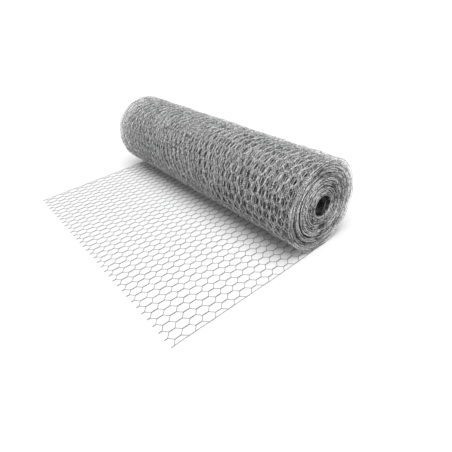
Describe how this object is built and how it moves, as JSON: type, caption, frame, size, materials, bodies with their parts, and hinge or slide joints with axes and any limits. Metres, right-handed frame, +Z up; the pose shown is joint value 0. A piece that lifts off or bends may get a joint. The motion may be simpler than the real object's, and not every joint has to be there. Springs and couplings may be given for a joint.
{
  "type": "roll of chicken wire",
  "caption": "Roll of hexagonal wire netting lying on its side, with an open bore, wound turns showing on its ends and its free end unrolled flat on the floor.",
  "frame": {"origin": "on the floor, at the middle of the footprint of the roll and its free end", "axes": "+X along the roll's axis, +Y from the free end towards the roll, +Z up"},
  "size_m": [0.9, 0.6136, 0.2581],
  "materials": {
    "galvanised_wire": "dull galvanised"
  },
  "bodies": {
    "root": {"netting_roll": "galvanised_wire", "free_end_root": "galvanised_wire", "free_end_middle": "galvanised_wire", "free_end_tip": "galvanised_wire"}
  },
  "joints": []
}
